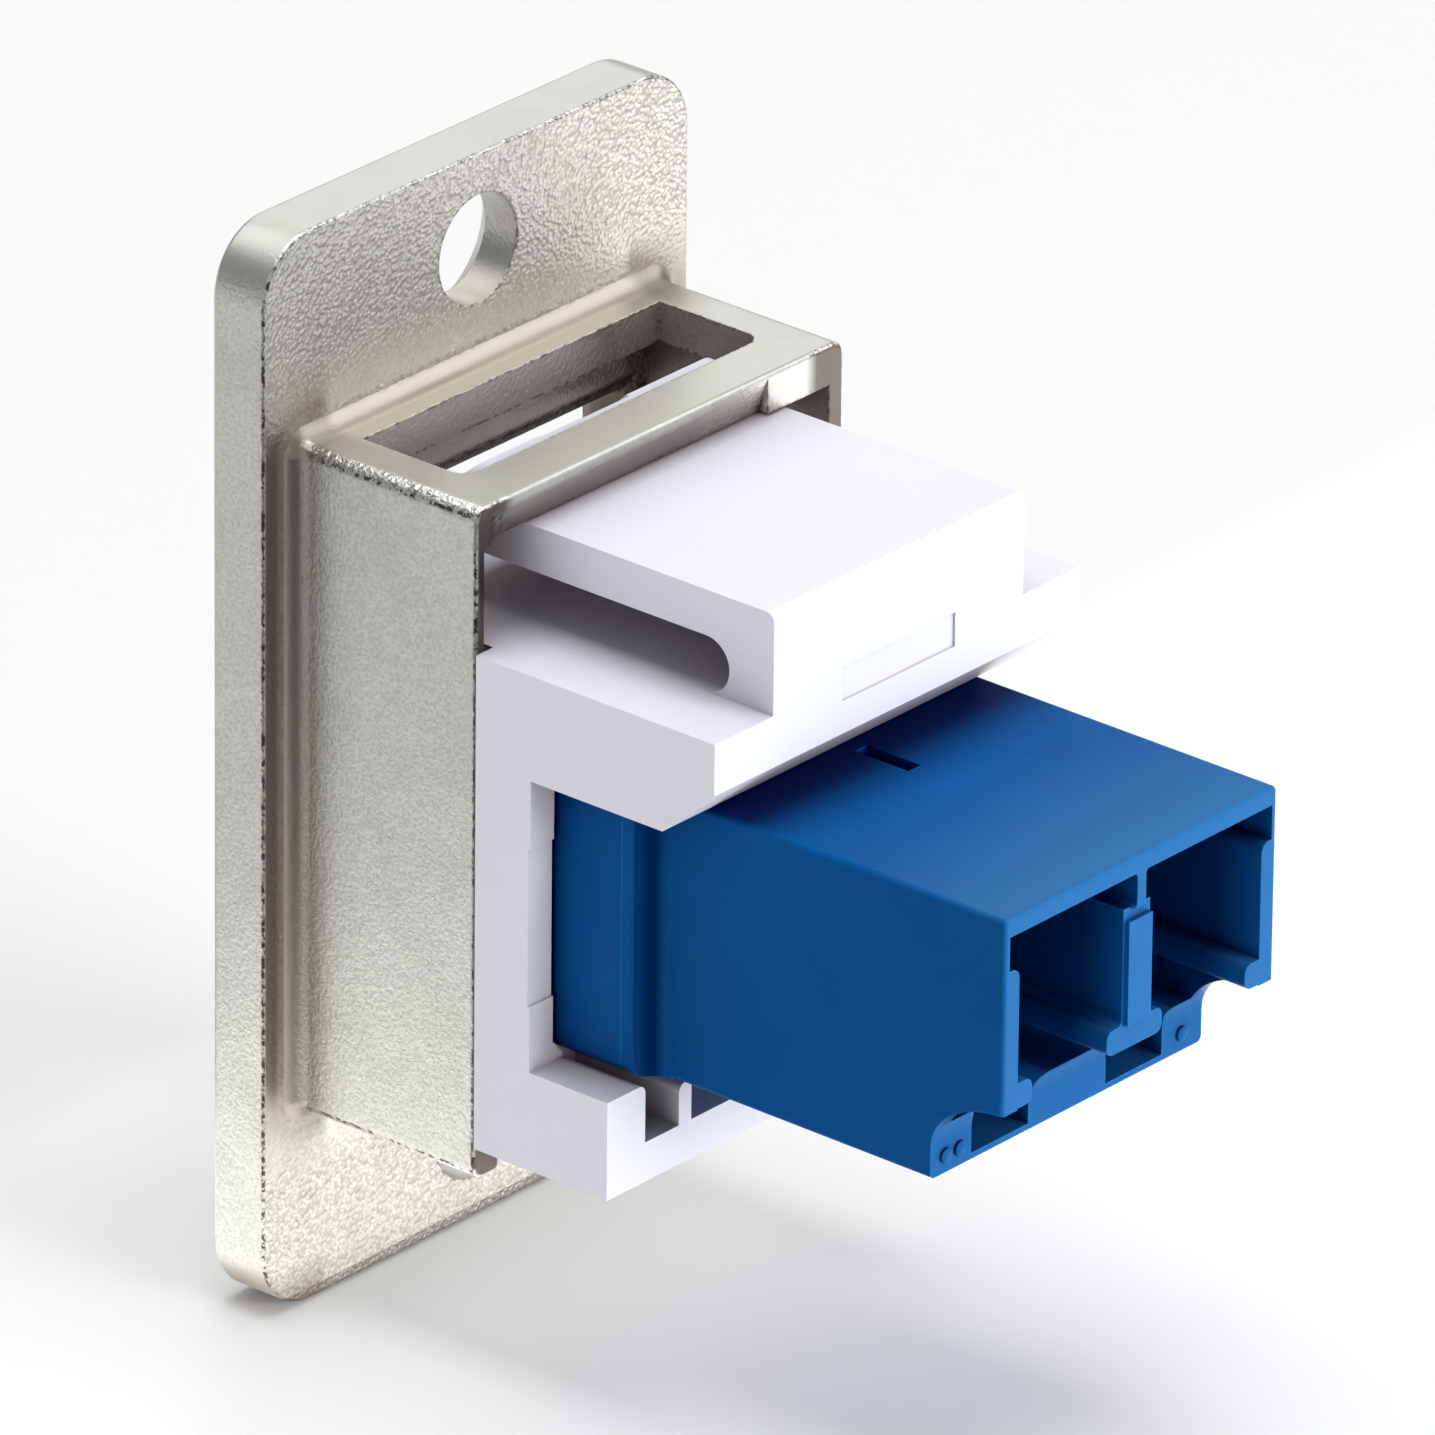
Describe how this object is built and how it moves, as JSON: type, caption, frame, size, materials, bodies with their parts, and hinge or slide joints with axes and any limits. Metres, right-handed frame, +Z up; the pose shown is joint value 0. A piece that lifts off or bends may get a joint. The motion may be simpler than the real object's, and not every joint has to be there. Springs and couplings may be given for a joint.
{
  "type": "duplex fibre adapter module",
  "caption": "Panel-mounted duplex fibre coupler: satin metal bracket with two screw holes, white snap-in holder with a latch arm, and a blue adapter with double ports.",
  "frame": {"origin": "midway between the two screw holes, on the rear face of the bracket's plate, which lies against the panel", "axes": "+Z up along the line of the screw holes, +Y out of the plate's rear face to behind the panel, +X across the width"},
  "size_m": [0.0198, 0.029, 0.0364],
  "materials": {
    "nickel_zinc": "zinc die casting with satin nickel plating and a fine pebbled grain",
    "white_plastic": "moulded, semi-matt",
    "blue_plastic": "moulded, glossy",
    "white_ceramic": "polished zirconia"
  },
  "bodies": {
    "root": {"mounting_bracket": "nickel_zinc", "keystone_holder": "white_plastic", "adapter_front_half": "blue_plastic", "adapter_rear_half": "blue_plastic", "alignment_sleeve_left": "white_ceramic", "alignment_sleeve_right": "white_ceramic"}
  },
  "joints": []
}
